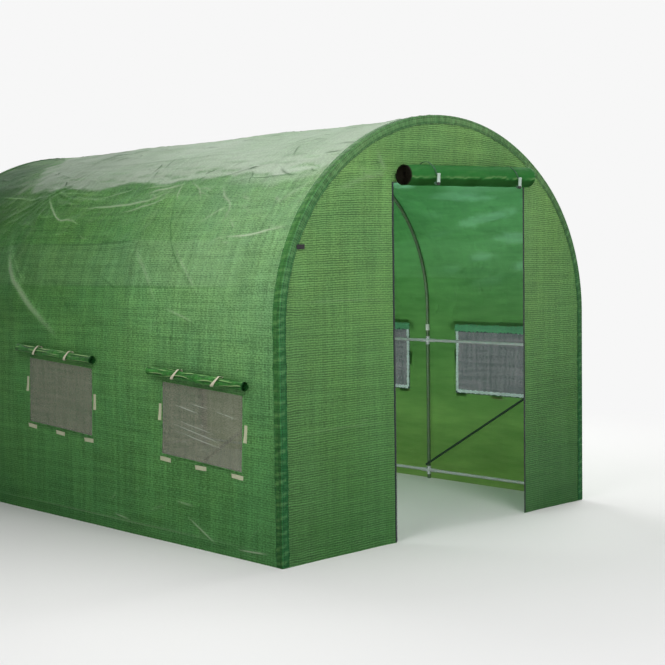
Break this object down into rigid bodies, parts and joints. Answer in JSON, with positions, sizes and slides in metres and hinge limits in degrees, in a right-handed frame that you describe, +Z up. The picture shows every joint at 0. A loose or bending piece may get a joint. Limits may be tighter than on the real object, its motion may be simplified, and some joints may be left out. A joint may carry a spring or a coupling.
{
  "type": "polytunnel greenhouse",
  "caption": "Walk-in polytunnel greenhouse: a steel tube frame of hoops and rails under a green reinforced film cover, with roll-up mesh windows and a rolled-up door.",
  "frame": {"origin": "on the ground, in the middle of the ground plan of the whole part, the rolled door included", "axes": "+X across the tunnel, to the right of someone who faces the door from outside; +Y along the tunnel, from the door end to the back; +Z up"},
  "size_m": [2.0936, 3.1044, 1.8318],
  "materials": {
    "galvanised_tube": "zinc-coated steel tube, dull satin",
    "green_tube": "dark green powder-coated tube",
    "joint_plastic": "pale moulded plastic",
    "green_film": "green film with a woven grid inside, half gloss",
    "hem_tape": "doubled green film, stitched",
    "insect_mesh": "fine grey insect netting",
    "tie_ribbon": "pale woven ribbon",
    "hook_strip": "pale hook-and-loop tape",
    "zip_tape": "dark zip with its tape",
    "toggle_plastic": "white toggle"
  },
  "bodies": {
    "root": {"back_base_rail": "galvanised_tube", "back_braces": "green_tube", "back_hem": "hem_tape", "back_hoop_arch": "galvanised_tube", "back_hoop_legs": "galvanised_tube", "back_panel": "green_film", "door_roll": "green_film", "door_ties": "tie_ribbon", "door_toggles": "toggle_plastic", "door_zips": "zip_tape", "foot_joints": "galvanised_tube", "front_braces": "green_tube", "front_hem": "hem_tape", "front_hoop_arch": "galvanised_tube", "front_hoop_legs": "galvanised_tube", "front_left_panel": "green_film", "front_right_panel": "green_film", "front_top_panel": "green_film", "left_base_rail": "galvanised_tube", "left_roof_cover": "green_film", "left_shoulder_cover": "green_film", "left_shoulder_rail": "galvanised_tube", "left_waist_rail": "galvanised_tube", "left_wall_cover": "green_film", "left_window_rolls": "green_film", "left_window_screens": "insect_mesh", "left_window_strips": "hook_strip", "left_window_ties": "tie_ribbon", "leg_sleeves": "joint_plastic", "ridge_joints": "galvanised_tube", "ridge_rail": "galvanised_tube", "right_base_rail": "galvanised_tube", "right_roof_cover": "green_film", "right_shoulder_cover": "green_film", "right_shoulder_rail": "galvanised_tube", "right_waist_rail": "galvanised_tube", "right_wall_cover": "green_film", "right_window_rolls": "green_film", "right_window_screens": "insect_mesh", "right_window_strips": "hook_strip", "right_window_ties": "tie_ribbon", "second_hoop_arch": "galvanised_tube", "second_hoop_legs": "galvanised_tube", "shoulder_joints": "galvanised_tube", "third_hoop_arch": "galvanised_tube", "third_hoop_legs": "galvanised_tube", "waist_joints": "galvanised_tube"}
  },
  "joints": []
}
